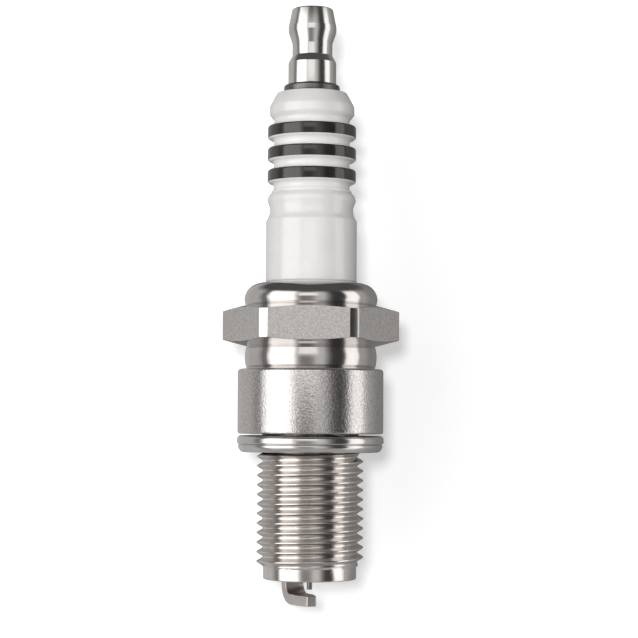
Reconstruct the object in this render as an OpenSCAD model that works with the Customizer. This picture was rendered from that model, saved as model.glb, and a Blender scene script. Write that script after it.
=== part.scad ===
// Spark plug with a long-reach M14 thread, a removable terminal nut and a fine-wire centre electrode.
// Lengths are in millimetres. +Z runs up the axis, from the firing end to the terminal nut.
// The origin is the centre of the gasket's lower face, where the plug seats on a cylinder head.
// Inside the file every height is measured from the shell's seat face, just above the gasket.

/* [Thread] */
// Major diameter of the shell's thread
thread_d = 14; // [12:0.1:17]
// Pitch of the shell's thread
thread_pitch = 1.25; // [1:0.05:1.5]
// Length from the seat face to the firing end of the shell
reach = 19; // [15.5:0.1:27]
// Length of the smooth neck between the seat and the first thread
relief_h = 2.9; // [2.4:0.1:3.5]
// Depth of the smooth neck below the thread's crest
relief_depth = 0.65; // [0.5:0.05:0.8]
// Length of the plain pilot below the thread
pilot_h = 1.6; // [1.2:0.1:2]
// How far the pilot stands inside the thread's root
pilot_step = 0.13; // [0.05:0.01:0.3]
// Height of the cone that leads from the pilot into the thread
lead_h = 0.55; // [0.4:0.05:0.8]

/* [Shell] */
// Width of the hexagon across its flats
hex_af = 20.8; // [17.3:0.1:25]
// Height of the hexagon
hex_h = 5.2; // [4.5:0.1:6.5]
// How far each corner of the hexagon is cut back
hex_corner_cut = 0.36; // [0.1:0.01:0.6]
// How far the hexagon's end chamfers reach in from its flats
hex_chamfer_in = 1.5; // [0.2:0.1:1.6]
// Slope of the hexagon's end chamfers
hex_chamfer_angle = 15; // [10:1:30]
// Width of the seat face outside the thread
seat_w = 2.6; // [2.2:0.1:3.2]
// Height of the barrel between the seat and the neck
body_h = 8.5; // [7:0.1:10.2]
// Chamfer on the barrel's edges
body_edge = 0.3; // [0.1:0.05:0.5]
// Height of the buckled neck under the hexagon
neck_h = 3.1; // [2.5:0.1:3.8]
// Wall of the buckled neck
neck_wall = 1.1; // [0.8:0.05:1.4]
// How far the neck's buckle bulges out
neck_bulge = 0.25; // [0.1:0.05:0.35]
// Height of the crimped lip above the hexagon
crimp_h = 3; // [2.5:0.1:3.4]
// Thickness of the crimped lip
crimp_wall = 1.45; // [1.2:0.05:1.8]
// Wall between the thread's root and the shell's middle bore
thread_wall = 1.03; // [0.8:0.01:1.3]
// Wall of the shell's firing end, which the ground electrode is welded to
end_wall = 1.6; // [1.4:0.05:1.9]
// Width of the inner ledge that carries the insulator
ledge_w = 1.1; // [0.9:0.05:1.4]
// Height of the ledge's narrowest stretch
ledge_h = 1.0; // [0.6:0.1:2]
// Depth of the ledge's upper edge below the seat
ledge_depth = 9.6; // [8:0.1:11]
// Slope of the ledge and of the insulator's seat on it
ledge_angle = 30; // [20:1:40]

/* [Gasket] */
// Free height of the folded gasket
gasket_h = 2.2; // [1.7:0.1:2.5]
// Slack between the gasket and the seat before the plug is tightened
gasket_play = 0.2; // [0.1:0.05:0.4]
// How far the gasket's inner lip reaches under the thread's crest
gasket_catch = 0.3; // [0.2:0.05:0.45]
// How far the gasket's upper fold stands proud of the seat face
gasket_proud = 0.05; // [0:0.05:0.2]
// How far the gasket's lower fold stands back from the upper one
gasket_step = 0.4; // [0.2:0.05:0.6]
// Flat left on the folds' rounded edges
gasket_flat = 0.08; // [0.04:0.01:0.2]
// How deep the two folds sink into each other
gasket_overlap = 0.08; // [0.04:0.01:0.2]

/* [Insulator] */
// Diameter of the glazed barrel above the crimped lip
barrel_d = 12; // [10:0.1:14.4]
// Height of the glazed barrel above the crimped lip
barrel_h = 8.3; // [6.5:0.1:10]
// How much the radius drops where the barrel enters the shell
root_step = 0.16; // [0.1:0.01:0.2]
// Depth of the shallow waist above the barrel
waist_depth = 0.5; // [0.3:0.05:0.6]
// Radius of the waist's curve
waist_round = 2.15; // [1.8:0.05:2.5]
// Height of the lowest rib's middle above the barrel
rib_rise = 5.95; // [5.5:0.05:7]
// How far the ribs stand inside the barrel's radius
rib_inset = 0.17; // [0:0.01:0.4]
// Height of each rib
rib_h = 2; // [1.7:0.05:2.3]
// Spacing of the ribs
rib_pitch = 2.93; // [2.8:0.01:3.5]
// Number of ribs
rib_count = 3; // [1:1:5]
// Rounding of the ribs' edges
rib_round = 0.42; // [0.2:0.02:0.5]
// Depth of the grooves between the ribs
groove_depth = 0.85; // [0.6:0.05:1.1]
// How far the head above the ribs stands inside the barrel's radius
head_inset = 0.4; // [0.1:0.05:0.6]
// Height of the head
head_h = 3.3; // [2.8:0.1:4]
// Height of the slope round the head's top
head_slope_h = 1.85; // [1.2:0.05:2.2]
// How far the slope round the head's top reaches in
head_slope_w = 1; // [0.6:0.05:1.3]
// Thickness of the black glaze on the ribs
glaze_t = 0.12; // [0.08:0.01:0.2]
// Width of the white edge left beside each rib's black glaze
glaze_edge = 0.25; // [0.2:0.05:0.5]

/* [Insulator inside the shell] */
// Width of the talc ring between the insulator and the shell
talc_w = 1.5; // [1.2:0.05:1.7]
// Gap round the insulator's collar and middle
insulator_gap = 0.15; // [0.05:0.05:0.25]
// How far the collar's top lies below the hexagon
collar_drop = 2; // [1:0.1:3]
// Height of the shell's inner shoulder above the seat
shoulder_z = 0.5; // [0:0.1:1.5]
// Gap between the insulator's shoulder and the shell's
shoulder_gap = 0.4; // [0.2:0.05:0.8]
// Thickness of the seat washer
washer_t = 0.4; // [0.3:0.05:0.6]
// Gap between the insulator's nose and the ledge
nose_gap = 0.45; // [0.3:0.05:0.6]
// Ceramic wall round the electrode at the tip of the nose
nose_wall = 1; // [0.7:0.05:1.1]
// How far the nose stops short of the shell's end
nose_recess = 0.5; // [0.2:0.05:1]
// Diameter of the insulator's upper bore
bore_d = 3.9; // [3.5:0.05:4.7]

/* [Terminal] */
// Diameter of the terminal nut
nut_d = 6.35; // [6.1:0.05:7.6]
// Height of the terminal nut's skirt
nut_skirt_h = 3; // [2.5:0.1:3.6]
// Height of the slope above the skirt
nut_slope_h = 0.95; // [0.7:0.05:1.2]
// Height of the terminal nut's waist, between the slope and the flare
nut_waist_h = 1.65; // [1.2:0.05:2]
// Height of the flare under the terminal nut's barrel
nut_flare_h = 1.5; // [1.2:0.05:1.9]
// Height of the terminal nut's barrel
nut_barrel_h = 0.75; // [0.6:0.05:1.2]
// Height of the terminal nut's tapered top
nut_top_h = 2.4; // [1.9:0.1:3]
// Diameter of the flat top of the terminal nut
nut_top_d = 5.2; // [4.6:0.1:5.6]
// Wall of the terminal nut at its waist
nut_wall = 0.6; // [0.5:0.05:0.7]
// Diameter of the terminal post's thread
stud_d = 4; // [3.5:0.05:4.6]
// Pitch of the terminal post's thread
stud_pitch = 0.7; // [0.5:0.05:0.8]
// Height of the terminal post above its flange
stud_h = 6.5; // [5.5:0.1:7.2]
// Diameter of the terminal post's flange
flange_d = 7.5; // [7:0.1:8.5]
// Height of the terminal post's flange
flange_h = 1.05; // [0.9:0.05:1.3]
// Gap between the post and the insulator's bore
shank_gap = 0.3; // [0.15:0.05:0.45]
// How deep the post's foot sits in the upper seal
stud_embed = 3.8; // [3:0.1:4.5]

/* [Core] */
// Height of the bore's step above the seat, where the centre electrode's head rests
step_z = 3.2; // [2:0.1:5]
// Height of the lower glass seal
lower_seal_h = 5; // [4:0.1:6]
// Height of the resistor
resistor_h = 8; // [6.5:0.1:10]
// Height of the upper glass seal
upper_seal_h = 5.2; // [4.8:0.1:6.2]
// Diameter of the centre electrode
electrode_d = 2.5; // [2:0.1:3]
// Height of the centre electrode's head
electrode_head_h = 1.6; // [1.2:0.1:2]
// Diameter of the copper core
core_d = 1.3; // [1:0.05:1.5]
// Diameter of the fine-wire tip
tip_d = 0.7; // [0.5:0.05:0.84]
// How far the fine-wire tip stands out of the shell
tip_out = 1.4; // [1.1:0.05:2]

/* [Ground electrode] */
// Spark gap
spark_gap = 0.8; // [0.5:0.05:1.2]
// Thickness of the ground electrode
ground_t = 1.4; // [1.15:0.05:1.45]
// Width of the ground electrode
ground_w = 2.7; // [2.2:0.05:3.3]
// Inner radius of the ground electrode's bend
ground_bend_r = 1.2; // [0.8:0.05:1.5]
// How far the ground electrode reaches past the axis
ground_past = 0.72; // [0.5:0.02:1]
// Width of the ground electrode's tapered end
ground_tip_w = 1.3; // [1:0.05:1.6]
// Length of the ground electrode's taper
ground_taper = 2.2; // [1.6:0.1:2.6]
// Direction of the ground electrode's leg round the axis
ground_angle = 117; // [0:1:359]

/* [Clearances] */
// Radial clearance of the terminal nut on its post
nut_fit = 0.05; // [0.02:0.01:0.1]
// Radial clearance of the centre electrode in the nose
electrode_fit = 0.03; // [0.02:0.01:0.06]
// Clearance round the packing rings
packing_fit = 0.02; // [0.01:0.01:0.05]
// Gap between the crimped lip and the insulator
lip_gap = 0.15; // [0.12:0.01:0.2]

/* [Hidden] */
$fn = 96;

// Overshoot of a cutting shape past the face it cuts
cut = 1;
// How far the insulator's narrower root stands out of the shell
root_out = 0.3;
// Share of the pitch that is flat on a thread's crest, and a thread's depth as a share of its pitch
CREST_SHARE = 1 / 8;
DEPTH_SHARE = 0.6134;
// Half of a thread's 60 degree angle
FLANK = 30;

// Shell: radii
thread_r = thread_d / 2;
root_r = thread_r - DEPTH_SHARE * thread_pitch;
pilot_r = root_r - pilot_step;
relief_r = thread_r - relief_depth;
body_r = thread_r + seat_w;
barrel_r = barrel_d / 2;
barrel_root_r = barrel_r - root_step;
upper_bore_r = barrel_root_r + talc_w;
middle_bore_r = root_r - thread_wall;
ledge_r = middle_bore_r - ledge_w;
chamber_r = pilot_r - end_wall;
neck_r = upper_bore_r + neck_wall;
crimp_round = crimp_wall + talc_w / 2;
crimp_centre_r = barrel_root_r + talc_w / 2;

// Shell: heights above the seat face
seat_z = gasket_h + gasket_play;
neck_z = body_h;
hex_z = neck_z + neck_h;
crimp_z = hex_z + hex_h;
shell_top = crimp_z + crimp_h;
crimp_centre_z = shell_top - crimp_round;
ledge_rise = ledge_w * tan(ledge_angle);

// Insulator: radii
collar_r = upper_bore_r - insulator_gap;
middle_r = middle_bore_r - insulator_gap;
nose_base_r = ledge_r - nose_gap;
electrode_r = electrode_d / 2;
lower_bore_r = electrode_r + electrode_fit;
nose_tip_r = lower_bore_r + nose_wall;
bore_r = bore_d / 2;
rib_r = barrel_r - rib_inset;
groove_r = rib_r - groove_depth;
head_r = barrel_r - head_inset;

// Insulator: heights above the seat face
collar_top = hex_z - collar_drop;
root_top = shell_top + root_out;
barrel_top = shell_top + barrel_h;
groove_w = rib_pitch - rib_h;
top_rib_z = barrel_top + rib_rise + (rib_count - 1) * rib_pitch;
head_z = top_rib_z + rib_h / 2 + groove_w;
insulator_top = head_z + head_h;
nose_z = -reach + nose_recess;

// Packing between insulator and shell
wire_r = talc_w / 2 - packing_fit;
talc_z = collar_top + 2 * wire_r;
talc_top = crimp_centre_z - wire_r;

// Core: heights above the seat face
resistor_z = step_z + lower_seal_h;
upper_seal_z = resistor_z + resistor_h;
stud_foot_z = upper_seal_z + upper_seal_h - stud_embed;
flange_top = insulator_top + flange_h;
tip_z = -reach - tip_out;
foot_top = tip_z - spark_gap;

// The insulator's seat is a cone above the ledge: its height at radius r.
function seat_cone_z(r) = -ledge_depth + (r - ledge_r) * tan(ledge_angle);

// Moves what is measured from the seat face into the part's own frame.
module from_seat() {
    translate([0, 0, seat_z])
        children();
}

// Half outline of a disc from z0 to z1 with its outer edges rounded.
module rounded_disc(r, z0, z1, round_r) {
    translate([0, z0])
        square([r - round_r, z1 - z0]);
    translate([0, z0 + round_r])
        square([r, z1 - z0 - 2 * round_r]);
    for (z = [z0 + round_r, z1 - round_r])
        translate([r - round_r, z])
            circle(round_r);
}

// Half outline of the groove between two rings of a thread, centred on height z.
module thread_groove(crest_r, pitch, z) {
    root_half = pitch * (1 - CREST_SHARE) / 2 - DEPTH_SHARE * pitch * tan(FLANK);
    over = 0.1 * pitch;
    crest_half = pitch * (1 - CREST_SHARE) / 2 + over * tan(FLANK);
    depth_r = crest_r - DEPTH_SHARE * pitch;
    polygon([
        [depth_r, z - root_half], [crest_r + over, z - crest_half],
        [crest_r + over, z + crest_half], [depth_r, z + root_half]
    ]);
}

// Thread grooves one pitch apart, from the crest that starts at height top down to height bottom.
module thread_grooves(crest_r, pitch, top, bottom) {
    count = floor((top - bottom - pitch * CREST_SHARE) / pitch);
    for (i = [1 : count])
        thread_groove(crest_r, pitch, top - pitch * (CREST_SHARE + 1) / 2 - (i - 1) * pitch);
}

// ---- Shell ----

// Half outline of the shell's turned outside, without the hexagon.
module shell_turned() {
    thread_bottom = -reach + pilot_h + lead_h;
    pilot_edge = 0.15;
    difference() {
        polygon([
            [0, -reach], [pilot_r - pilot_edge, -reach], [pilot_r, -reach + pilot_edge],
            [pilot_r, -reach + pilot_h], [thread_r, thread_bottom], [thread_r, -relief_h],
            [relief_r, -relief_h + relief_depth], [relief_r, 0], [body_r - body_edge, 0],
            [body_r, body_edge], [body_r, neck_z - body_edge], [body_r - body_edge, neck_z],
            [0, neck_z]
        ]);
        thread_grooves(thread_r, thread_pitch, -relief_h, thread_bottom);
    }
    translate([0, neck_z - cut])
        square([neck_r, neck_h + 2 * cut]);
    neck_buckle();
    crimped_lip();
}

// Half outline of the buckle that the closing press raises on the neck.
module neck_buckle() {
    flat_end = 0.3;
    half = neck_h / 2 - flat_end;
    round_r = (half * half + neck_bulge * neck_bulge) / (2 * neck_bulge);
    intersection() {
        translate([neck_r + neck_bulge - round_r, neck_z + neck_h / 2])
            circle(round_r);
        translate([neck_r - cut, neck_z])
            square([cut + neck_bulge, neck_h]);
    }
}

// Half outline of the lip that is rolled in over the packing.
module crimped_lip() {
    translate([0, crimp_z - cut])
        square([crimp_centre_r + crimp_round, crimp_centre_z - crimp_z + cut]);
    translate([crimp_centre_r, crimp_centre_z])
        circle(crimp_round);
    translate([0, crimp_centre_z])
        square([crimp_centre_r, crimp_round]);
}

// Hexagon with cut corners and turned end chamfers. Two flats face the Y directions.
module hexagon() {
    flat_r = hex_af / 2;
    corner_r = flat_r / cos(30) - hex_corner_cut;
    face_r = flat_r - hex_chamfer_in;
    chamfer_h = (corner_r - face_r) * tan(hex_chamfer_angle);
    intersection() {
        translate([0, 0, hex_z])
            cylinder(h = hex_h, r = flat_r / cos(30), $fn = 6);
        rotate_extrude()
            polygon([
                [0, hex_z], [face_r, hex_z], [corner_r, hex_z + chamfer_h],
                [corner_r, crimp_z - chamfer_h], [face_r, crimp_z], [0, crimp_z]
            ]);
    }
}

// Half outline of the shell's stepped bore.
module shell_bore() {
    ledge_z = -ledge_depth - ledge_h;
    polygon([
        [0, -reach - cut], [chamber_r, -reach - cut], [chamber_r, ledge_z - (chamber_r - ledge_r)],
        [ledge_r, ledge_z], [ledge_r, -ledge_depth], [middle_bore_r, -ledge_depth + ledge_rise],
        [middle_bore_r, shoulder_z], [upper_bore_r, shoulder_z + upper_bore_r - middle_bore_r],
        [upper_bore_r, crimp_centre_z], [0, crimp_centre_z]
    ]);
    translate([crimp_centre_r, crimp_centre_z])
        circle(talc_w / 2);
    translate([0, crimp_centre_z - cut])
        square([crimp_centre_r, talc_w / 2 + cut]);
    translate([0, crimp_centre_z])
        square([barrel_root_r + lip_gap, crimp_round + cut]);
}

module shell() {
    color("#b9b5b0")
        from_seat()
            difference() {
                union() {
                    rotate_extrude()
                        shell_turned();
                    hexagon();
                }
                rotate_extrude()
                    shell_bore();
            }
}

// ---- Gasket ----

// Folded sheet-metal ring: an upper fold against the seat and a lower fold with the inner lip.
module gasket() {
    upper_r = body_r + gasket_proud;
    lower_r = upper_r - gasket_step;
    inner_r = thread_r - gasket_catch;
    fold_h = (gasket_h + gasket_overlap) / 2;
    fold_round = (fold_h - gasket_flat) / 2;
    color("#d4d2ce")
        rotate_extrude() {
            gasket_fold(inner_r, lower_r, 0, fold_h, fold_round);
            gasket_fold(inner_r + gasket_step / 2, upper_r, gasket_h - fold_h, gasket_h, fold_round);
        }
}

// Half outline of one fold, with rounded inner and outer edges.
module gasket_fold(inner_r, outer_r, z0, z1, round_r) {
    translate([inner_r + round_r, z0])
        square([outer_r - inner_r - 2 * round_r, z1 - z0]);
    translate([inner_r, z0 + round_r])
        square([outer_r - inner_r, z1 - z0 - 2 * round_r]);
    for (r = [inner_r + round_r, outer_r - round_r])
        for (z = [z0 + round_r, z1 - round_r])
            translate([r, z])
                circle(round_r);
}

// ---- Insulator ----

// Half outline of the insulator below the crimped lip: nose, seat, middle, collar and root.
module insulator_foot() {
    nose_edge = 0.25;
    seat_base_z = seat_cone_z(nose_base_r) + washer_t;
    seat_top_z = seat_cone_z(middle_r) + washer_t;
    collar_z = shoulder_z + shoulder_gap + collar_r - middle_r;
    collar_edge = 0.3;
    polygon([
        [0, nose_z], [nose_tip_r - nose_edge, nose_z], [nose_tip_r, nose_z + nose_edge],
        [nose_base_r, seat_base_z], [middle_r, seat_top_z],
        [middle_r, shoulder_z + shoulder_gap], [collar_r, collar_z],
        [collar_r, collar_top - collar_edge], [collar_r - collar_edge, collar_top],
        [barrel_root_r, collar_top], [barrel_root_r, root_top - root_step], [0, root_top - root_step]
    ]);
    polygon([
        [0, root_top - root_step], [barrel_root_r, root_top - root_step], [barrel_r, root_top],
        [barrel_r, barrel_top], [0, barrel_top]
    ]);
}

// Half outline of the ribs' crests, before the glaze is let in.
module ribs() {
    for (i = [0 : rib_count - 1])
        rounded_disc(rib_r, rib_z(i) - rib_h / 2, rib_z(i) + rib_h / 2, rib_round);
}

function rib_z(i) = barrel_top + rib_rise + i * rib_pitch;

// Half outline of the column between the barrel and the head, with a round groove beside each rib.
module ribbed_column() {
    low_z = rib_z(0) - rib_h / 2 - groove_w;
    round_r = groove_w / 2;
    difference() {
        translate([0, low_z])
            square([groove_r + round_r, head_z - low_z]);
        for (i = [0 : rib_count])
            translate([groove_r + round_r, low_z + round_r + i * rib_pitch])
                circle(round_r);
    }
}

// Half outline of the bead and the shallow waist between the barrel and the lowest groove.
module bead_and_waist() {
    bead_top = rib_z(0) - rib_h / 2 - groove_w;
    waist_half = sqrt(waist_round * waist_round - pow(waist_round - waist_depth, 2));
    difference() {
        rounded_disc(rib_r, barrel_top - cut, bead_top, rib_round);
        translate([barrel_r - waist_depth + waist_round, barrel_top + waist_half])
            circle(waist_round);
    }
}

// Half outline of the head under the terminal.
module insulator_head() {
    top_r = head_r - head_slope_w;
    top_edge = 0.2;
    low_round = 0.35;
    translate([0, head_z])
        square([head_r - low_round, low_round]);
    translate([head_r - low_round, head_z + low_round])
        circle(low_round);
    polygon([
        [0, head_z + low_round], [head_r, head_z + low_round],
        [head_r, insulator_top - head_slope_h], [top_r + top_edge, insulator_top - top_edge],
        [top_r, insulator_top], [0, insulator_top]
    ]);
}

module insulator() {
    color("#efedea")
        from_seat()
            difference() {
                rotate_extrude() {
                    insulator_foot();
                    bead_and_waist();
                    ribbed_column();
                    ribs();
                    insulator_head();
                }
                rotate_extrude()
                    glaze_bands();
                translate([0, 0, step_z])
                    cylinder(h = insulator_top - step_z + cut, r = bore_r);
                translate([0, 0, nose_z - cut])
                    cylinder(h = step_z - nose_z + 2 * cut, r = lower_bore_r);
            }
}

// Half outline of the glaze: the outer skin of each rib, between two white edges.
module glaze_bands() {
    for (i = [0 : rib_count - 1])
        difference() {
            intersection() {
                rounded_disc(rib_r, rib_z(i) - rib_h / 2, rib_z(i) + rib_h / 2, rib_round);
                translate([rib_r - rib_round, rib_z(i) - rib_h / 2 + glaze_edge])
                    square([rib_round + cut, rib_h - 2 * glaze_edge]);
            }
            translate([0, rib_z(i) - rib_h / 2])
                square([rib_r - glaze_t - rib_round / 2, rib_h]);
            rounded_disc(rib_r - glaze_t, rib_z(i) - rib_h / 2, rib_z(i) + rib_h / 2, rib_round);
        }
}

module rib_glaze() {
    color("#35312f")
        from_seat()
            rotate_extrude()
                glaze_bands();
}

// ---- Packing ----

// Wire ring whose centre circle lies at height z.
module packing_ring(z) {
    rotate_extrude()
        translate([crimp_centre_r, z])
            circle(wire_r);
}

module lower_ring() {
    color("#8c8a86")
        from_seat()
            packing_ring(collar_top + wire_r);
}

module upper_ring() {
    color("#8c8a86")
        from_seat()
            packing_ring(crimp_centre_z);
}

module talc_fill() {
    color("#dcd8cf")
        from_seat()
            rotate_extrude()
                translate([barrel_root_r, talc_z])
                    square([talc_w, talc_top - talc_z]);
}

module seat_washer() {
    edge = 0.05;
    color("#9a9792")
        from_seat()
            rotate_extrude()
                polygon([
                    [ledge_r + edge, seat_cone_z(ledge_r + edge)],
                    [middle_bore_r - edge, seat_cone_z(middle_bore_r - edge)],
                    [middle_bore_r - edge, seat_cone_z(middle_bore_r - edge) + washer_t],
                    [ledge_r + edge, seat_cone_z(ledge_r + edge) + washer_t]
                ]);
}

// ---- Terminal ----

module terminal_stud() {
    color("#6f6c6a")
        from_seat()
            stud_solid();
}

// The whole post: foot with gripping grooves, shank, flange and threaded end.
module stud_solid() {
    stud_r = stud_d / 2;
    shank_r = bore_r - shank_gap;
    foot_r = bore_r - shank_gap / 2;
    flange_round = 0.3;
    stud_edge = 0.3;
    foot_out = 0.6;
    foot_h = stud_embed + foot_out;
    grip_pitch = 0.8;
    grip_r = 0.25;
    rotate_extrude()
        difference() {
            union() {
                translate([0, stud_foot_z])
                    square([foot_r, foot_h]);
                translate([0, stud_foot_z])
                    square([shank_r, insulator_top - stud_foot_z + cut / 2]);
                rounded_disc(flange_d / 2, insulator_top, flange_top, flange_round);
                polygon([
                    [0, flange_top - flange_round], [stud_r, flange_top - flange_round],
                    [stud_r, flange_top + stud_h - stud_edge],
                    [stud_r - stud_edge, flange_top + stud_h], [0, flange_top + stud_h]
                ]);
            }
            thread_grooves(stud_r, stud_pitch, flange_top + stud_h - stud_edge, flange_top + stud_pitch);
            for (z = [stud_foot_z + grip_pitch : grip_pitch : stud_foot_z + foot_h - grip_r])
                translate([foot_r, z])
                    circle(grip_r);
        }
}

// Turned nut: skirt, waist, barrel and tapered top over a blind bore.
module terminal_nut() {
    nut_r = nut_d / 2;
    nut_bore_r = stud_d / 2 + nut_fit;
    waist_r = nut_bore_r + nut_wall;
    edge = 0.15;
    bore_end_gap = 0.4;
    waist_z = nut_skirt_h + nut_slope_h;
    flare_z = waist_z + nut_waist_h;
    barrel_z = flare_z + nut_flare_h;
    taper_z = barrel_z + nut_barrel_h;
    nut_h = taper_z + nut_top_h;
    color("#cfccc8")
        from_seat()
            translate([0, 0, flange_top])
                difference() {
                    rotate_extrude()
                        polygon([
                            [0, 0], [nut_r - edge, 0], [nut_r, edge], [nut_r, nut_skirt_h],
                            [waist_r, waist_z], [waist_r, flare_z], [nut_r, barrel_z], [nut_r, taper_z],
                            [nut_top_d / 2 + edge, nut_h - edge], [nut_top_d / 2, nut_h], [0, nut_h]
                        ]);
                    translate([0, 0, -cut])
                        cylinder(h = stud_h + bore_end_gap + cut, r = nut_bore_r);
                }
}

// ---- Seals, resistor and centre electrode ----

module upper_seal() {
    color("#5b6168")
        from_seat()
            difference() {
                translate([0, 0, upper_seal_z])
                    cylinder(h = upper_seal_h, r = bore_r);
                stud_solid();
            }
}

module resistor() {
    color("#2f2d2b")
        from_seat()
            translate([0, 0, resistor_z])
                cylinder(h = resistor_h, r = bore_r);
}

module lower_seal() {
    color("#5b6168")
        from_seat()
            difference() {
                translate([0, 0, step_z])
                    cylinder(h = lower_seal_h, r = bore_r);
                electrode_solid();
            }
}

// Head, shank and tapered end of the centre electrode, filled in.
module electrode_solid() {
    electrode_head_r = bore_r - shank_gap / 2;
    taper_h = 0.45;
    taper_z = -reach - 0.15;
    collar_w = 0.12;
    rotate_extrude()
        polygon([
            [0, taper_z], [tip_d / 2 + collar_w, taper_z], [electrode_r, taper_z + taper_h],
            [electrode_r, step_z], [electrode_head_r, step_z],
            [electrode_head_r, step_z + electrode_head_h], [0, step_z + electrode_head_h]
        ]);
}

// The copper core runs from the head's top face to a blind end above the tip.
module core_solid() {
    end_wall_h = 2.65;
    core_end = -reach + end_wall_h;
    translate([0, 0, core_end])
        cylinder(h = step_z + electrode_head_h - core_end, r = core_d / 2);
}

// The fine wire is let into the electrode's end.
module tip_solid() {
    tip_root = 0.3;
    tip_top = -reach + tip_root;
    translate([0, 0, tip_z])
        cylinder(h = tip_top - tip_z, r = tip_d / 2);
}

module centre_electrode() {
    color("#8f8a84")
        from_seat()
            difference() {
                electrode_solid();
                core_solid();
                tip_solid();
            }
}

module electrode_core() {
    color("#b5714a")
        from_seat()
            core_solid();
}

module iridium_tip() {
    color("#57524f")
        from_seat()
            tip_solid();
}

// ---- Ground electrode ----

// A bent bar: a leg welded to the shell's end, a bend and a foot that passes under the tip.
module ground_electrode() {
    weld_inset = 0.15;
    leg_out = pilot_r - weld_inset;
    leg_in = leg_out - ground_t;
    bend_x = leg_in - ground_bend_r;
    bend_z = foot_top + ground_bend_r;
    color("#a8a29c")
        from_seat()
            rotate([0, 0, ground_angle])
                difference() {
                    rotate([90, 0, 0])
                        translate([0, 0, -ground_w / 2])
                            linear_extrude(ground_w) {
                                translate([leg_in, bend_z])
                                    square([ground_t, -reach - bend_z]);
                                translate([bend_x, bend_z])
                                    quarter_bend();
                                translate([-ground_past, foot_top - ground_t])
                                    square([bend_x + ground_past, ground_t]);
                            }
                    for (side = [-1, 1])
                        taper_cut(side);
                }
}

// Quarter of a ring, below and outside its centre.
module quarter_bend() {
    difference() {
        intersection() {
            circle(ground_bend_r + ground_t);
            translate([0, -ground_bend_r - ground_t])
                square(ground_bend_r + ground_t);
        }
        circle(ground_bend_r);
    }
}

// Prism that trims one side of the foot to its tapered end.
module taper_cut(side) {
    start = ground_taper - ground_past;
    slope = (ground_w - ground_tip_w) / 2 / ground_taper;
    translate([0, 0, foot_top - ground_t - cut])
        linear_extrude(ground_t + 2 * cut)
            polygon([
                [start, side * ground_w / 2],
                [-ground_past - cut, side * (ground_tip_w / 2 - slope * cut)],
                [-ground_past - cut, side * (ground_w / 2 + cut)],
                [start, side * (ground_w / 2 + cut)]
            ]);
}

terminal_nut();
terminal_stud();
insulator();
rib_glaze();
upper_seal();
resistor();
lower_seal();
centre_electrode();
electrode_core();
iridium_tip();
shell();
seat_washer();
lower_ring();
talc_fill();
upper_ring();
gasket();
ground_electrode();
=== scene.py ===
from math import acos, cos, hypot, pi, radians, sin, sqrt, tan

import bpy
from mathutils import Matrix, Vector


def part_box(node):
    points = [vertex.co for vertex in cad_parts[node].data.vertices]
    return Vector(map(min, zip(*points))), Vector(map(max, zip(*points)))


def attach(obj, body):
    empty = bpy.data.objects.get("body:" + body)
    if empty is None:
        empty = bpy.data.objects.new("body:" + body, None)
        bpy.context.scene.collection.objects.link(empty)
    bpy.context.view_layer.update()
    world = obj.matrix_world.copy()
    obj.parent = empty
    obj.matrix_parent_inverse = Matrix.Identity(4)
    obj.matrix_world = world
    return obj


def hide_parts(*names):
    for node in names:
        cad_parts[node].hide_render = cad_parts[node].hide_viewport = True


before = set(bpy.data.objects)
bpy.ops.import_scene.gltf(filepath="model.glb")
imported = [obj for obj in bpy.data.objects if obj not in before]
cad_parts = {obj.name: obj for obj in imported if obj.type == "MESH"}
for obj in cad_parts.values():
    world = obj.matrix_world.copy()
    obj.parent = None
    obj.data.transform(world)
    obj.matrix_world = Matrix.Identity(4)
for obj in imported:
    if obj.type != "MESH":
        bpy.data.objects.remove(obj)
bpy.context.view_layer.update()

# Lengths are in millimetres until a mesh is made, and MM turns them to metres.
MM = 0.001
bpy.context.scene.view_settings.view_transform = "Standard"


def low_of(node):
    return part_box(node)[0].z / MM


def high_of(node):
    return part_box(node)[1].z / MM


def radius_of(node):
    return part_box(node)[1].x / MM


# ---- Camera ----

# The lens is level with the top of the gasket and tips up a little.
CAMERA_AWAY = 260
CAMERA_EYE = 4.25
CAMERA_ASIDE = 1.06
CAMERA_AZIMUTH = radians(1.3)
CAMERA_TIP = radians(2.93)
CAMERA_ROLL = radians(0.31)
CAMERA_LENS = 111.15


def make_camera():
    data = bpy.data.cameras.new("camera")
    data.lens = CAMERA_LENS
    data.sensor_width = 36
    data.clip_start = 0.01
    data.clip_end = 10
    camera = bpy.data.objects.new("camera", data)
    bpy.context.scene.collection.objects.link(camera)
    turn = Matrix.Rotation(CAMERA_AZIMUTH, 4, "Z")
    place = Matrix.Translation(Vector((CAMERA_ASIDE, -CAMERA_AWAY, CAMERA_EYE)) * MM)
    tip = Matrix.Rotation(pi / 2 + CAMERA_TIP, 4, "X")
    roll = Matrix.Rotation(CAMERA_ROLL, 4, "Z")
    camera.matrix_world = turn @ place @ tip @ roll
    bpy.context.scene.camera = camera


# ---- Outlines ----


def arc(centre_r, centre_z, radius, start, end, steps):
    """Points on a round stretch of an outline. Angles are in degrees from the outward direction."""
    turns = [radians(start + (end - start) * i / steps) for i in range(steps + 1)]
    return [(centre_r + radius * cos(a), centre_z + radius * sin(a)) for a in turns]


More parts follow.
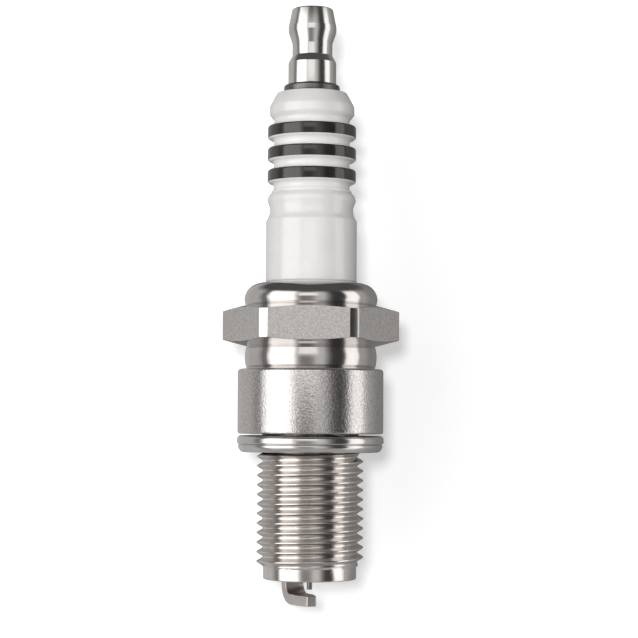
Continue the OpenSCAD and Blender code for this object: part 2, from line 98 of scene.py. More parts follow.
def softened(corners, closed=True):
    """An outline whose corners are rounded. Each corner is (radius, height, rounding)."""
    points = []
    count = len(corners)
    for i, corner in enumerate(corners):
        rounding = corner[2] if len(corner) > 2 else 0
        here = Vector(corner[:2])
        ends = not closed and i in (0, count - 1)
        if not rounding or ends:
            points.append(tuple(here))
            continue
        before = Vector(corners[i - 1][:2]) - here
        after = Vector(corners[(i + 1) % count][:2]) - here
        half = before.angle(after) / 2
        reach = min(rounding / tan(half), 0.48 * before.length, 0.48 * after.length)
        rounding = reach * tan(half)
        inward = (before.normalized() + after.normalized()).normalized()
        middle = here + inward * (rounding / sin(half))
        first = here + before.normalized() * reach - middle
        last = here + after.normalized() * reach - middle
        sweep = first.angle_signed(last)
        steps = max(2, round(abs(sweep) / radians(12)))
        for k in range(steps + 1):
            turned = first.copy()
            turned.rotate(Matrix.Rotation(-sweep * k / steps, 2))
            points.append(tuple(middle + turned))
    return points


# ---- Modelling ----

# Steps round a full turn of a turned piece
ROUND_STEPS = 160
# Faces that meet at more than this stay sharp
SHARP = radians(28)
# Steps round a turn of a thread
THREAD_STEPS = 120
# Depth of a metric thread, as a share of its pitch
THREAD_DEPTH = 0.6134
# Points closer than this are one
MERGE = 1e-7


def deselect_all():
    if bpy.context.object and bpy.context.object.mode != "OBJECT":
        bpy.ops.object.mode_set(mode="OBJECT")
    bpy.ops.object.select_all(action="DESELECT")


def draw_outline(name, points, closed):
    """Draws an outline as a chain of edges in the XZ plane, and stays in edit mode."""
    deselect_all()
    places = [Vector((r, 0, z)) * MM for r, z in points]
    bpy.ops.mesh.primitive_plane_add(size=MM, location=places[0])
    piece = bpy.context.object
    piece.name = piece.data.name = name
    bpy.ops.object.mode_set(mode="EDIT")
    bpy.ops.mesh.select_all(action="SELECT")
    bpy.ops.mesh.merge(type="CENTER")
    for here, there in zip(places, places[1:] + places[:1] if closed else places[1:]):
        bpy.ops.mesh.extrude_vertices_move(TRANSFORM_OT_translate={"value": there - here})
    return piece


def finish_piece(piece, body, slot, material, *nodes):
    """Puts the piece at the origin, shades it and hands it to its body."""
    bpy.ops.object.mode_set(mode="EDIT")
    bpy.ops.mesh.select_all(action="SELECT")
    bpy.ops.mesh.remove_doubles(threshold=MERGE)
    bpy.ops.mesh.normals_make_consistent(inside=False)
    bpy.ops.object.mode_set(mode="OBJECT")
    bpy.ops.object.transform_apply(location=True, rotation=True, scale=True)
    bpy.ops.object.shade_smooth_by_angle(angle=SHARP)
    piece.data.materials.clear()
    piece.data.materials.append(material)
    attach(piece, body)
    if nodes:
        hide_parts(*nodes)
    return piece


def turned(name, points, closed=True):
    """A turned piece: its half outline spun once round the axis."""
    piece = draw_outline(name, points, closed)
    bpy.ops.mesh.select_all(action="SELECT")
    bpy.ops.mesh.spin(
        steps=ROUND_STEPS, angle=2 * pi, center=(0, 0, 0), axis=(0, 0, 1), use_auto_merge=True
    )
    bpy.ops.mesh.select_all(action="SELECT")
    bpy.ops.mesh.remove_doubles(threshold=MERGE)
    return piece


def apply_modifier(piece, kind, **settings):
    modifier = piece.modifiers.new(kind.lower(), kind)
    for name, value in settings.items():
        setattr(modifier, name, value)
    bpy.context.view_layer.objects.active = piece
    bpy.ops.object.modifier_apply(modifier=modifier.name)


def cut_level(z, keep_above):
    """Cuts the mesh being edited at a height and leaves the cut's edge selected."""
    bpy.ops.mesh.select_all(action="SELECT")
    bpy.ops.mesh.bisect(
        plane_co=(0, 0, z * MM),
        plane_no=(0, 0, 1),
        clear_inner=keep_above,
        clear_outer=not keep_above,
        threshold=MERGE,
    )


def extrude_ring(scale, rise):
    """Extrudes the selected ring of edges, then scales it about the axis."""
    bpy.ops.mesh.extrude_edges_move(TRANSFORM_OT_translate={"value": (0, 0, rise * MM)})
    bpy.ops.transform.resize(value=(scale, scale, 1), center_override=(0, 0, 0))


# ---- Materials ----


def colour(code):
    """An sRGB hex code as a linear colour."""
    parts = [int(code[i : i + 2], 16) / 255 for i in (1, 3, 5)]
    linear = [c / 12.92 if c <= 0.04045 else ((c + 0.055) / 1.055) ** 2.4 for c in parts]
    return (*linear, 1)


def grey(value):
    return (value, value, value, 1)


def feed(tree, node, inputs):
    """Sets a node's inputs, each to a value or linked to an output. A node stands for its first."""
    for name, value in inputs.items():
        if isinstance(value, bpy.types.Node):
            value = value.outputs[0]
        if isinstance(value, bpy.types.NodeSocket):
            tree.links.new(value, node.inputs[name])
        else:
            node.inputs[name].default_value = value


def add(tree, kind, inputs=None, stops=(), **settings):
    """Adds a node with its settings and inputs, and a ramp's stops as (position, colour)."""
    made = tree.nodes.new("ShaderNode" + kind)
    for name, value in settings.items():
        setattr(made, name, value)
    feed(tree, made, inputs or {})
    if stops:
        elements = made.color_ramp.elements
        while len(elements) < len(stops):
            elements.new(1)
        for element, (position, shade) in zip(elements, stops):
            element.position = position
            element.color = shade
    return made


def round_place(tree, spot):
    """Height and radius as a coordinate, so that a pattern runs in rings as turning marks do."""
    split = add(tree, "SeparateXYZ", {"Vector": spot})
    x, y, z = split.outputs
    across = add(tree, "Math", {0: x, 1: x}, operation="MULTIPLY")
    squares = add(tree, "Math", {0: y, 1: y, 2: across}, operation="MULTIPLY_ADD")
    radius = add(tree, "Math", {0: squares}, operation="SQRT")
    return add(tree, "CombineXYZ", {"X": z, "Y": radius}).outputs[0]


# Width of a turning mark, drawn as coarse as it needs to be to show
TURNING_MARK = 0.12


def new_material(name, light, dark, patch_mm, reliefs, roughness, rings_mm=0.0, **sockets):
    """A surface that drifts between two colours over patch_mm.

    reliefs are layers of bumps, each (size, depth, detail) with lengths in millimetres. They lie
    over turning marks that are rings_mm deep. roughness is one value, or a span that follows the
    last layer.
    """
    material = bpy.data.materials.new(name)
    material.use_nodes = True
    tree = material.node_tree
    spot = add(tree, "TexCoord").outputs["Object"]
    layers = [(spot, *relief) for relief in reliefs]
    if rings_mm:
        layers.insert(0, (round_place(tree, spot), TURNING_MARK, rings_mm, 2.0))
    normal = {}
    for where, size_mm, depth_mm, detail in layers:
        grain = add(
            tree,
            "TexNoise",
            {"Vector": where, "Scale": 1 / (size_mm * MM), "Detail": detail, "Roughness": 0.6},
        )
        bump = {"Height": grain, "Distance": depth_mm * MM, "Strength": 1.0, **normal}
        normal = {"Normal": add(tree, "Bump", bump)}
    if isinstance(roughness, tuple):
        low, high = roughness
        roughness = add(tree, "MapRange", {"Value": grain, "To Min": low, "To Max": high})
    patches = add(
        tree,
        "TexNoise",
        {"Vector": spot, "Scale": 1 / (patch_mm * MM), "Detail": 3.0, "Roughness": 0.6},
    )
    shades = [(0.3, colour(dark)), (0.7, colour(light))]
    shade = add(tree, "ValToRGB", {"Fac": patches}, shades)
    inputs = {socket.replace("_", " "): value for socket, value in sockets.items()}
    shader = tree.nodes["Principled BSDF"]
    feed(tree, shader, {"Base Color": shade, "Roughness": roughness, **normal, **inputs})
    if "Coat_Weight" in sockets:
        feed(tree, shader, {"Coat Normal": normal["Normal"]})
    return material


def metal(name, light, dark, roughness, grain_mm, depth_mm, rings_mm, patch_mm=2.5):
    """Metal with a grain over turning marks, both drawn coarser than the real ones."""
    reliefs = [(grain_mm, depth_mm, 1.0)]
    return new_material(name, light, dark, patch_mm, reliefs, roughness, rings_mm, Metallic=1.0)


def pressed_powder(name, light, dark, grain_mm, roughness):
    """Pressed or sintered powder: matt, with a grain drawn coarser than the real one."""
    return new_material(name, light, dark, grain_mm, [(grain_mm, 0.01, 3.0)], roughness)


# Bright nickel on a turned nut: nearly a mirror, with hair-fine turning rings.
BRIGHT_NICKEL = metal("bright_nickel", "#d9d6d2", "#cfccc8", (0.12, 0.2), 0.2, 0.001, 0.003)
# Satin nickel on cold-formed steel: speckled and finely pitted, as the plate follows the blank.
# The real grain is finer and would not show.
SATIN_NICKEL = metal("satin_nickel", "#dbd6d3", "#b9b4b1", (0.16, 0.28), 0.23, 0.024, 0.001, 0.28)
# Cold-headed hexagon: satin nickel with a deeper grain, drawn coarse in the same way.
HEX_NICKEL = metal("hex_nickel", "#dfdad6", "#b7b2af", (0.28, 0.42), 0.2, 0.03, 0.0, 0.28)
# Nickel polished where the closing press squeezed it, at the lip and the neck.
PRESSED_NICKEL = metal("pressed_nickel", "#d2cecb", "#c6c1be", (0.08, 0.16), 0.3, 0.001, 0.002)
# Rolled thread: nickel burnished by the rolling dies.
ROLLED_NICKEL = metal("rolled_nickel", "#e0dbd7", "#d0cbc7", (0.12, 0.2), 0.2, 0.002, 0.001)
# Folded sheet steel, nickel plated: bright, with a soft draw grain.
GASKET_STEEL = metal("gasket_steel", "#d8d5d2", "#cbc7c4", (0.12, 0.2), 0.3, 0.002, 0.002)
# Steel of the terminal stud: dark grey all over, with lighter and darker patches and a fine grain.
DARK_GREY_STEEL = metal("dark_grey_steel", "#7d7a78", "#4f4c4b", (0.25, 0.45), 0.25, 0.004, 0.002)
# Drawn nickel alloy bar: satin and a little brown.
NICKEL_ALLOY = metal("nickel_alloy", "#dcd5d1", "#c6beb9", (0.3, 0.4), 0.12, 0.005, 0.0)
# Drawn iridium wire, laser welded: dark, with a heat bloom.
IRIDIUM = metal("iridium", "#8a8684", "#5f5b59", (0.25, 0.4), 0.08, 0.003, 0.001)
# Plain steel wire and stampings inside the shell: dull grey.
PLAIN_STEEL = metal("plain_steel", "#a5a29e", "#8b8884", (0.3, 0.45), 0.2, 0.005, 0.002)
# Extruded copper: warm, with a soft grain.
COPPER = metal("copper", "#c98a63", "#b5714a", (0.25, 0.4), 0.2, 0.004, 0.001)
# White alumina under a clear fired glaze: glossy, faintly wavy.
GLAZED_ALUMINA = new_material(
    "glazed_alumina",
    light="#f6f4f3",
    dark="#efedeb",
    patch_mm=3.0,
    reliefs=[(1.6, 0.008, 1.0), (0.25, 0.0008, 1.0)],
    roughness=0.2,
    IOR=1.52,
    Coat_Weight=0.6,
    Coat_Roughness=0.04,
    Coat_IOR=1.5,
)
# Black iron glaze fired on the ribs: deep charcoal gloss with a slight orange peel.
BLACK_GLAZE = new_material(
    "black_glaze",
    light="#302b29",
    dark="#241f1e",
    patch_mm=0.9,
    reliefs=[(0.35, 0.003, 1.0)],
    roughness=0.09,
    IOR=1.62,
)
# Talc pressed into a ring: chalky off-white.
TALC = pressed_powder("talc", "#e9e5dc", "#d8d3c8", 0.15, 0.9)
# Carbon and glass fired into a resistor: matt charcoal.
RESISTOR_BODY = pressed_powder("resistor_body", "#3a3735", "#262422", 0.12, 0.8)
# Glass fused with copper powder: dark, slightly shiny.
GLASS_SEAL = pressed_powder("glass_seal", "#66594f", "#3f3a38", 0.1, 0.35)


# ---- Terminal nut ----


def make_terminal_nut():
    base = low_of("terminal_nut")
    top = high_of("terminal_nut")
    radius = radius_of("terminal_nut")
    skirt, slope, waist, flare, barrel = 3.0, 0.95, 1.65, 1.5, 0.75
    waist_r = 2.65
    top_r = 2.6
    bore_r = 2.05
    bore_top = high_of("terminal_stud") + 0.4
    z1 = base + skirt
    z2 = z1 + slope
    z3 = z2 + waist
    z4 = z3 + flare
    z5 = z4 + barrel
    outline = softened(
        [
            (bore_r, base, 0.1),
            (radius, base, 0.12),
            (radius, z1, 0.25),
            (waist_r, z2, 0.3),
            (waist_r, z3, 1.2),
            (radius, z4, 0.8),
            (radius, z5, 0.06),
            (radius - 0.2, z5 + 1.0, 1.0),
            (top_r + 0.12, top - 0.12, 0.1),
            (top_r - 0.05, top, 0.1),
            (0, top),
        ]
        + [(0, bore_top + 0.9), (bore_r, bore_top)]
    )
    piece = turned("terminal_nut", outline)
    finish_piece(piece, "nut", "bright_nickel", BRIGHT_NICKEL, "terminal_nut")


# ---- Insulator ----

RIB_PITCH = 2.93
RIB_HIGH = 1.88
RIB_ROUND = 0.42
BEAD_ROUND = 1.25
RIB_COUNT = 3
RIB_R = 5.83
GROOVE_DEEP = 0.85
BARREL_HIGH = 8.3
RIB_RISE = 5.89


def rib_heights(shell_top):
    first = shell_top + BARREL_HIGH + RIB_RISE
    return [first + i * RIB_PITCH for i in range(RIB_COUNT)]


def make_insulator():
    shell_top = high_of("shell")
    top = high_of("insulator")
    tip = low_of("insulator")
    barrel_top = shell_top + BARREL_HIGH
    barrel_r = 6.0
    groove_r = RIB_R - GROOVE_DEEP
    waist_round, waist_deep = 2.15, 0.5
    collar_r, step_r, nose_r, bore_r, post_bore_r = 7.19, 5.84, 5.05, 1.28, 1.95
    collar_top, bore_top = 12.0, 5.6
    groove_round = (RIB_PITCH - RIB_HIGH) / 2
    half_waist = sqrt(waist_round**2 - (waist_round - waist_deep) ** 2)
    outline = softened(
        [
            (bore_r, tip, 0.1),
            (2.28, tip, 0.25),
            (3.65, -6.9, 0.8),
            (nose_r, -5.9, 0.3),
            (nose_r, 3.3, 0.3),
            (collar_r, 5.44, 0.3),
            (collar_r, collar_top, 0.3),
            (step_r, collar_top, 0.2),
            (step_r, shell_top + 0.1, 0.1),
            (barrel_r, shell_top + 0.3, 0.2),
        ],
        closed=False,
    )
    waist_centre = barrel_r - waist_deep + waist_round
    swing = 180 / pi * acos((waist_round - waist_deep) / waist_round)
    outline.append((barrel_r, barrel_top - 0.1))
    waist_z = barrel_top + half_waist
    outline += arc(waist_centre, waist_z, waist_round, 180 + 0.93 * swing, 180 - 0.8 * swing, 12)
    centres = rib_heights(shell_top)
    bead_top = centres[0] - RIB_HIGH / 2 - 2 * groove_round
    outline += arc(RIB_R - BEAD_ROUND, bead_top - BEAD_ROUND, BEAD_ROUND, 0, 55, 8)
    for i in range(RIB_COUNT + 1):
        groove_z = bead_top + groove_round + i * RIB_PITCH
        outline += arc(groove_r + groove_round, groove_z, groove_round, 245, 115, 8)
        if i < RIB_COUNT:
            rib_z = centres[i]
            low, high = rib_z - RIB_HIGH / 2 + RIB_ROUND, rib_z + RIB_HIGH / 2 - RIB_ROUND
            outline += arc(RIB_R - RIB_ROUND, low, RIB_ROUND, -85, 0, 6)
            outline += arc(RIB_R - RIB_ROUND, high, RIB_ROUND, 0, 85, 6)
    head_z = centres[-1] + RIB_HIGH / 2 + 2 * groove_round
    head_r = 5.6
    outline += softened(
        [
            (groove_r + 0.07, head_z - 0.2),
            (head_r, head_z + 0.36, 0.35),
            (head_r, top - 1.85, 0.9),
            (4.6, top, 0.3),
            (post_bore_r, top, 0.1),
            (post_bore_r, bore_top),
            (bore_r, bore_top),
            (bore_r, tip),
        ],
        closed=False,
    )[:-1]
    piece = turned("insulator", outline)
    finish_piece(piece, "plug", "white_glaze", GLAZED_ALUMINA, "insulator")


def make_rib_glaze():
    """The black coat on each rib: over the upper rounding and down to just above the lower one."""
    thick, proud = 0.1, 0.02
    for i, z in enumerate(rib_heights(high_of("shell"))):
        low = z - RIB_HIGH / 2 + 0.24
        bend_z = z + RIB_HIGH / 2 - RIB_ROUND
        bend_r = RIB_R - RIB_ROUND
        outline = (
            [(RIB_R - thick, low), (RIB_R, low), (RIB_R + proud, low + 0.06)]
            + arc(bend_r, bend_z, RIB_ROUND + proud, 0, 38, 6)
            + arc(bend_r, bend_z, RIB_ROUND - thick, 38, 0, 6)
        )
        piece = turned(f"rib_glaze_{i + 1}", outline)
        finish_piece(piece, "plug", "black_glaze", BLACK_GLAZE, "rib_glaze")


# ---- Terminal stud ----


def screwed(name, crest_r, pitch, crest_z, low, high, limit, rings):
    """A piece with a true right-hand thread between two heights.

    limit gives the least and greatest radius at a height, where the thread runs in and out.
    rings are the outline's points from the thread's top edge round to its bottom edge.
    """
    deep = THREAD_DEPTH * pitch
    flat = pitch / 16
    flank = deep * tan(pi / 6)
    start = crest_z - pitch / 2
    while start > low - 1.02 * pitch:
        start -= pitch
    turns = int((high - start) / pitch) + 2
    middle = start + pitch / 2
    profile = softened(
        [
            (crest_r - deep, start),
            (crest_r - deep, middle - flat - flank, 0.09 * pitch),
            (crest_r, middle - flat, 0.07 * pitch),
            (crest_r, middle + flat, 0.07 * pitch),
            (crest_r - deep, middle + flat + flank, 0.09 * pitch),
            (crest_r - deep, start + pitch),
        ],
        closed=False,
    )
    piece = draw_outline(name, profile, closed=False)
    bpy.ops.object.mode_set(mode="OBJECT")
    bpy.ops.object.transform_apply(location=True, rotation=False, scale=False)
    apply_modifier(
        piece,
        "SCREW",
        screw_offset=pitch * MM,
        iterations=turns,
        steps=THREAD_STEPS,
        render_steps=THREAD_STEPS,
        use_merge_vertices=True,
        merge_threshold=MERGE,
    )
    bpy.ops.object.mode_set(mode="EDIT")
    cut_level(low, keep_above=True)
    cut_level(high, keep_above=False)
    bpy.ops.object.mode_set(mode="OBJECT")
    for point in piece.data.vertices:
        least, most = limit(point.co.z / MM)
        radius = hypot(point.co.x, point.co.y) / MM
        kept = min(max(radius, least), most)
        point.co.x *= kept / radius
        point.co.y *= kept / radius
    for point in piece.data.vertices:
        point.select = abs(point.co.z / MM - high) < 1e-4
    for edge in piece.data.edges:
        edge.select = all(piece.data.vertices[v].select for v in edge.vertices)
    for face in piece.data.polygons:
        face.select = False
    bpy.ops.object.mode_set(mode="EDIT")
    bpy.ops.mesh.select_mode(type="EDGE")
    here = (limit(high)[1], high)
    for there in rings:
        extrude_ring(there[0] / here[0], there[1] - here[1])
        here = there
    bpy.ops.mesh.select_mode(type="VERT")
    return piece


def between(z, z0, z1, v0, v1):
    """A value that goes evenly from v0 at height z0 to v1 at height z1, and stays there beyond."""
    share = min(max((z - z0) / (z1 - z0), 0), 1)
    return v0 + share * (v1 - v0)


POST_PITCH = 0.7


def make_terminal_stud():
    foot = low_of("terminal_stud")
    top = high_of("terminal_stud")
    flange_low = high_of("insulator")
    flange_high = flange_low + 1.05
    flange_r = radius_of("terminal_stud")
    post_r = 2.0
    root_r = post_r - THREAD_DEPTH * POST_PITCH
    shank_r = 1.65
    low, high = flange_high + 0.5, top - 0.1
    crest = flange_high + 1.2

    def limit(z):
        run_out = between(z, high - 0.3, high, post_r, root_r + 0.05)
        most = min(between(z, low, low + 0.3, root_r, post_r), run_out)
        return min(root_r, most), most

    rings = [
        (root_r - 0.1, top),
        (0.02, top),
        (0.02, foot),
        (shank_r - 0.2, foot),
        (shank_r, foot + 0.3),
        (shank_r, flange_low + 0.05),
        *softened(
            [
                (shank_r, flange_low),
                (flange_r, flange_low, 0.25),
                (flange_r, flange_high, 0.3),
                (root_r, flange_high, 0.1),
                (root_r, low),
            ],
            closed=False,
        ),
    ]
    piece = screwed("terminal_stud", post_r, POST_PITCH, crest, low, high, limit, rings)
    finish_piece(piece, "plug", "dark_steel", DARK_GREY_STEEL, "terminal_stud")


# ---- Shell ----

REACH = 19.0
THREAD_R = 7.0
THREAD_PITCH = 1.25
ROOT_R = THREAD_R - THREAD_DEPTH * THREAD_PITCH
PILOT_R = 6.103
RELIEF_R = 6.35
BODY_R = 9.6
NECK_R = 8.44
UPPER_BORE_R = 7.34
LIP_BORE_R = 5.99
MIDDLE_BORE_R = 5.203
LEDGE_BORE_R = 4.103
END_BORE_R = 4.503
LIP_ROUND = 2.2
HEX_ACROSS = 20.8
HEX_CORNER_R = 11.65
HEX_BORE_R = 7.5
HEX_HIGH = 5.2
HEX_CHAMFER_IN = 1.5
HEX_CHAMFER_SLOPE = radians(15)
BODY_HIGH = 8.5
NECK_HIGH = 3.1
CRIMP_HIGH = 3.0


def seat():
    """Height of the face that the gasket is squeezed against."""
    return high_of("shell") - CRIMP_HIGH - HEX_HIGH - NECK_HIGH - BODY_HIGH


def make_shell():
    seat_z = seat()
    end = seat_z - REACH
    low = end + 1.6
    lead = low + 0.55
    run_out = seat_z - 2.9
    high = run_out + 0.65
    crest = seat_z - 2.4 - 1.203
    neck_z = seat_z + BODY_HIGH
    hex_z = neck_z + NECK_HIGH
    crimp_z = hex_z + HEX_HIGH
    top = high_of("shell")

    def limit(z):
        thread_end = between(z, run_out, high, THREAD_R, RELIEF_R)
        most = min(between(z, low, lead, PILOT_R, THREAD_R), thread_end)
        return min(between(z, run_out, high, ROOT_R, RELIEF_R), most), most

    round_z = top - LIP_ROUND
    round_r = 6.59
    body = softened(
        [
            (RELIEF_R, high),
            (RELIEF_R, seat_z, 0.15),
            (BODY_R, seat_z, 0.3),
            (BODY_R, neck_z, 0.42),
            (NECK_R - 0.05, neck_z, 0.08),
            (NECK_R + 0.14, neck_z + 0.45, 0.4),
            (NECK_R + 0.25, neck_z + 1.2, 1.2),
            (NECK_R + 0.25, hex_z - 1.2, 1.2),
            (NECK_R + 0.14, hex_z - 0.45, 0.4),
            (NECK_R - 0.05, hex_z + 0.1),
            (NECK_R, crimp_z - 0.3),
            (NECK_R + 0.15, crimp_z, 0.1),
        ],
        closed=False,
    )
    body += arc(round_r, round_z, LIP_ROUND, 0, 102, 14)
    body += softened(
        [
            (LIP_BORE_R, top - 0.35),
            (LIP_BORE_R, round_z + 0.55, 0.1),
            (UPPER_BORE_R - 0.3, round_z + 0.5, 0.3),
            (UPPER_BORE_R, round_z),
            (UPPER_BORE_R, seat_z + 0.5, 0.1),
            (MIDDLE_BORE_R, seat_z - 0.6, 0.1),
            (MIDDLE_BORE_R, seat_z - 8.96, 0.1),
            (LEDGE_BORE_R, seat_z - 9.6, 0.1),
            (LEDGE_BORE_R, seat_z - 10.6, 0.1),
            (END_BORE_R, seat_z - 10.9, 0.1),
            (END_BORE_R, end, 0.12),
            (PILOT_R, end, 0.18),
            (PILOT_R, low),
        ],
        closed=False,
    )
    piece = screwed("shell", THREAD_R, THREAD_PITCH, crest, low, high, limit, body[1:])
    finish_piece(piece, "plug", "satin_nickel", SATIN_NICKEL, "shell")
    piece.data.materials.append(ROLLED_NICKEL)
    piece.data.materials.append(PRESSED_NICKEL)
    for face in piece.data.polygons:
        z = face.center.z / MM
        if z < seat_z - 0.02:
            face.material_index = 1
        elif z > neck_z - 0.25:
            face.material_index = 2


def make_hexagon():
    hex_z = seat() + BODY_HIGH + NECK_HIGH
    deselect_all()
    bpy.ops.mesh.primitive_cylinder_add(
        vertices=6,
        radius=HEX_ACROSS / sqrt(3) * MM,
        depth=2 * HEX_HIGH * MM,
        location=(0, 0, (hex_z + HEX_HIGH / 2) * MM),
        rotation=(0, 0, radians(30)),
    )
    piece = bpy.context.object
    piece.name = piece.data.name = "shell_hexagon"
    bpy.ops.object.transform_apply(location=True, rotation=True, scale=True)
    chamfer_r = HEX_ACROSS / 2 - HEX_CHAMFER_IN
    chamfer_h = (HEX_CORNER_R - chamfer_r) * tan(HEX_CHAMFER_SLOPE)
    blank = turned(
        "hexagon_blank",
        [
            (HEX_BORE_R, hex_z),
            (chamfer_r, hex_z),
            (HEX_CORNER_R, hex_z + chamfer_h),
            (HEX_CORNER_R, hex_z + HEX_HIGH - chamfer_h),
            (chamfer_r, hex_z + HEX_HIGH),
            (HEX_BORE_R, hex_z + HEX_HIGH),
        ],
    )
    bpy.ops.mesh.normals_make_consistent(inside=False)
    bpy.ops.object.mode_set(mode="OBJECT")
    bpy.ops.object.transform_apply(location=True, rotation=True, scale=True)
    deselect_all()
    piece.select_set(True)
    apply_modifier(piece, "BOOLEAN", object=blank, operation="INTERSECT", solver="EXACT")
    bpy.data.objects.remove(blank)
    apply_modifier(
        piece, "BEVEL", width=0.09 * MM, segments=2, limit_method="ANGLE", angle_limit=radians(20)
    )
    finish_piece(piece, "plug", "satin_nickel", PRESSED_NICKEL, "shell")
    apply_modifier(piece, "WEIGHTED_NORMAL", keep_sharp=True)
    piece.data.materials.append(HEX_NICKEL)
    for face in piece.data.polygons:
        if abs(face.normal.z) < 0.1 and face.area > 1e-5:
            face.material_index = 1


# ---- Gasket ----


# Keeps the gasket off the seat at the end of its play
SEAT_CLEARANCE = 0.03


def make_gasket():
    """A ring folded from sheet steel: two round folds, the upper one a little wider."""
    low, high = low_of("gasket"), high_of("gasket") - SEAT_CLEARANCE
    radius = radius_of("gasket")
    fold = low + 0.48 * (high - low)
    outline = softened(
        [
            (6.72, low, 0.3),
            (radius - 0.5, low, 0.55),
            (radius - 0.12, fold - 0.35, 0.6),
            (radius - 0.15, fold - 0.08, 0.2),
            (radius - 0.36, fold, 0.06),
            (radius, fold + 0.06, 0.5),
            (radius, high, 0.52),
            (6.92, high, 0.35),
            (6.72, fold, 0.3),
        ]
    )
    piece = turned("gasket", outline)
    finish_piece(piece, "washer", "gasket_steel", GASKET_STEEL, "gasket")


# ---- Ground electrode ----

GROUND_TURN = radians(117)


def make_ground_electrode():
    thick, wide, inner_bend = 1.4, 2.7, 1.2
    tip_wide, taper, past = 1.3, 2.2, 0.72
    out = 5.953
    end = seat() - REACH
    bottom = low_of("ground_electrode")
    bend_r = out - thick - inner_bend
    bend_z = bottom + thick + inner_bend
    outline = (
        [(out, end + 0.08)]
        + arc(bend_r, bend_z, inner_bend + thick, 0, -90, 14)
        + [(-past, bottom), (-past, bottom + thick)]
        + arc(bend_r, bend_z, inner_bend, -90, 0, 14)
        + [(out - thick, end + 0.08)]
    )
    piece = draw_outline("ground_electrode", outline, closed=True)
    bpy.ops.mesh.select_all(action="SELECT")
    bpy.ops.mesh.remove_doubles(threshold=MERGE)
    bpy.ops.mesh.edge_face_add()
    bpy.ops.mesh.extrude_region_move(TRANSFORM_OT_translate={"value": (0, wide * MM, 0)})
    bpy.ops.mesh.select_all(action="SELECT")
    bpy.ops.transform.translate(value=(0, -wide / 2 * MM, 0))
    run = (wide - tip_wide) / 2
    for side in (-1, 1):
        bpy.ops.mesh.select_all(action="SELECT")
        bpy.ops.mesh.bisect(
            plane_co=(-past * MM, side * tip_wide / 2 * MM, 0),
            plane_no=Vector((-run, side * taper, 0)).normalized(),
            use_fill=True,
            clear_outer=True,
            threshold=MERGE,
        )
    bpy.ops.mesh.select_all(action="SELECT")
    bpy.ops.mesh.normals_make_consistent(inside=False)
    bpy.ops.object.mode_set(mode="OBJECT")
    bpy.ops.object.transform_apply(location=True, rotation=True, scale=True)
    apply_modifier(
        piece, "BEVEL", width=0.12 * MM, segments=3, limit_method="ANGLE", angle_limit=radians(15)
    )
    piece.rotation_euler.z = GROUND_TURN
    finish_piece(piece, "plug", "nickel_alloy", NICKEL_ALLOY, "ground_electrode")
    apply_modifier(piece, "WEIGHTED_NORMAL", keep_sharp=True)


# ---- Pieces whose frame shape is right ----

KEPT = {
    "upper_seal": GLASS_SEAL,
    "lower_seal": GLASS_SEAL,
    "resistor": RESISTOR_BODY,
    "centre_electrode": NICKEL_ALLOY,
    "electrode_core": COPPER,
    "iridium_tip": IRIDIUM,
    "seat_washer": PLAIN_STEEL,
    "lower_ring": PLAIN_STEEL,
    "talc_fill": TALC,
    "upper_ring": PLAIN_STEEL,
}


def finish_kept_pieces():
    for node, material in KEPT.items():
        for slot in bpy.data.objects[node].material_slots:
            slot.material = material


# ---- Backdrop, floor and lights ----

# Each sheet's width, middle, tilt and glow
SHEETS = {
    # Just behind the plug, and a little larger than the view
    "backdrop": (160, (0, 12.5, 18), radians(90), 0.37),
    # Well below the plug's end
    "floor": (3000, (0, 0, -28), 0, 0.7),
}


def white_sheet(name, glow):
    """Matt white translucent paper, faintly lit from behind, that is only there from its front."""
    material = bpy.data.materials.new(name)
    material.use_nodes = True
    tree = material.node_tree
    spot = add(tree, "TexCoord").outputs["Object"]
    scale = 1 / (4.0 * MM)
    fibre = add(
        tree, "TexNoise", {"Vector": spot, "Scale": scale, "Detail": 3.0, "Roughness": 0.6}
    )
    normal = add(tree, "Bump", {"Height": fibre, "Distance": 0.01 * MM, "Strength": 1.0})
    paper = tree.nodes["Principled BSDF"]
    feed(
        tree,
        paper,
        {
            "Base Color": grey(0.86),
            "Roughness": 0.9,
            "Emission Color": grey(1),
            "Emission Strength": glow,
            "Normal": normal,
        },
    )
    back = add(tree, "NewGeometry").outputs["Backfacing"]
    both = add(tree, "MixShader", {0: back, 1: paper, 2: add(tree, "BsdfTransparent")})
    feed(tree, tree.nodes["Material Output"], {"Surface": both})
    return material


def make_surroundings():
    for name, (size, middle, tilt, glow) in SHEETS.items():
        deselect_all()
        bpy.ops.mesh.primitive_plane_add(
            size=size * MM, location=Vector(middle) * MM, rotation=(tilt, 0, 0)
        )
        sheet = bpy.context.object
        sheet.name = sheet.data.name = name
        sheet.data.materials.append(white_sheet(name, glow))
        sheet.visible_glossy = False
        sheet.visible_diffuse = False
        sheet.visible_shadow = False


# Each light's place from the plug's middle, width and power
LIGHTS = {
    # Beside the lens and a little above it: drops a small shadow to the right and down
    "key": ((-45, -650, 60), 100, 1.9),
    # Lights the far side, which the backdrop and the lens never see
    "fill": ((-60, 650, 160), 160, 1.5),
}


def make_lights():
    target = Vector((0, 0, 20)) * MM
    for name, (away, size, power) in LIGHTS.items():
        data = bpy.data.lights.new(name, "AREA")
        data.shape = "DISK"
        data.size = size * MM
        data.energy = power
        light = bpy.data.objects.new(name, data)
        bpy.context.scene.collection.objects.link(light)
        light.location = target + Vector(away) * MM
        light.rotation_euler = (target - light.location).to_track_quat("-Z", "Y").to_euler()
        light.visible_glossy = False


# ---- Studio ----

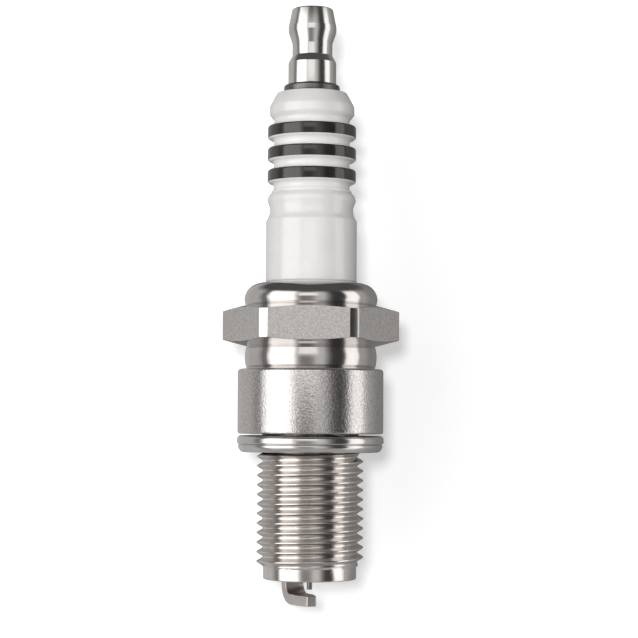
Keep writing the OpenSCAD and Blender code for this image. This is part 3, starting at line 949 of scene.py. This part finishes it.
# What the plug mirrors, by direction round it: degrees to the right of the lens, and brightness.
STUDIO = [
    (-180, 0.2),
    (-170, 0.2),
    (-160, 0.57),
    (-106, 0.57),
    (-97, 0.4),
    (-91, 0.21),
    (-82, 0.22),
    (-73, 2.1),
    (-32, 2.1),
    (-27, 1.4),
    (-22, 0.6),
    (-17, 0.33),
    (-11, 0.26),
    (0, 0.3),
    (6, 0.45),
    (12, 0.68),
    (23, 0.7),
    (29, 0.42),
    (35, 0.18),
    (41, 0.06),
    (57, 0.05),
    (63, 0.12),
    (68, 1.5),
    (91, 1.5),
    (97, 0.45),
    (106, 0.5),
    (118, 0.38),
    (128, 0.3),
    (150, 0.28),
    (170, 0.2),
    (180, 0.2),
]


def make_studio():
    """Tall soft boxes and dark flags round the plug, painted on the world, and white for the lens."""
    world = bpy.data.worlds.new("studio")
    world.use_nodes = True
    tree = world.node_tree
    x, y, z = add(tree, "SeparateXYZ", {0: add(tree, "TexCoord").outputs["Generated"]}).outputs
    front = add(tree, "Math", {0: y, 1: -1.0}, operation="MULTIPLY")
    turn = add(tree, "Math", {0: x, 1: front}, operation="ARCTAN2")
    # 0 to 1 once round, and 0 to 1 from straight down to straight up
    round_share = add(tree, "Math", {0: turn, 1: 1 / (2 * pi), 2: 0.5}, operation="MULTIPLY_ADD")
    height = add(tree, "Math", {0: z, 1: 0.5, 2: 0.5}, operation="MULTIPLY_ADD")
    round_stops = [(a / 360 + 0.5, grey(v)) for a, v in STUDIO]
    boxes = add(tree, "ValToRGB", {0: round_share}, round_stops)
    reach_stops = [(0.12, grey(0)), (0.25, grey(1)), (0.75, grey(1)), (0.84, grey(0))]
    reach = add(tree, "ValToRGB", {0: height}, reach_stops)
    ends = add(tree, "ValToRGB", {0: height}, [(0.3, grey(0.45)), (0.7, grey(0.1))])
    walls = add(tree, "Mix", {0: reach, 6: ends, 7: boxes}, data_type="RGBA")
    # A small soft box high in front, which only the lip, the neck and the nut mirror
    wide = [(a / 360 + 0.5, grey(v)) for a, v in ((-22, 0), (-19, 1), (10, 1), (17, 0))]
    tall = [
        (0.5 + sin(radians(a)) / 2, grey(v)) for a, v in ((2.2, 0), (4.2, 1), (26, 1), (34, 0))
    ]
    across = add(tree, "ValToRGB", {0: round_share}, wide)
    up = add(tree, "ValToRGB", {0: height}, tall)
    share = add(tree, "Math", {0: across, 1: up}, operation="MULTIPLY")
    lit = {0: share, 6: walls.outputs[2], 7: grey(1.25)}
    studio = add(tree, "Mix", lit, data_type="RGBA")
    path = add(tree, "LightPath")
    # Matt surfaces get less from the boxes, because the key light does most for them
    matt = path.outputs["Is Diffuse Ray"]
    strength = add(tree, "MapRange", {"Value": matt, "To Min": 1.0, "To Max": 0.5})
    mirrored = tree.nodes["Background"]
    feed(tree, mirrored, {"Color": studio.outputs[2], "Strength": strength})
    seen = add(tree, "Background", {"Color": grey(1)})
    both = add(tree, "MixShader", {0: path.outputs["Is Camera Ray"], 1: mirrored, 2: seen})
    feed(tree, tree.nodes["World Output"], {"Surface": both})
    bpy.context.scene.world = world


make_camera()
make_terminal_nut()
make_terminal_stud()
make_shell()
make_hexagon()
make_gasket()
make_ground_electrode()
finish_kept_pieces()
make_surroundings()
make_lights()
make_insulator()
make_rib_glaze()
make_studio()
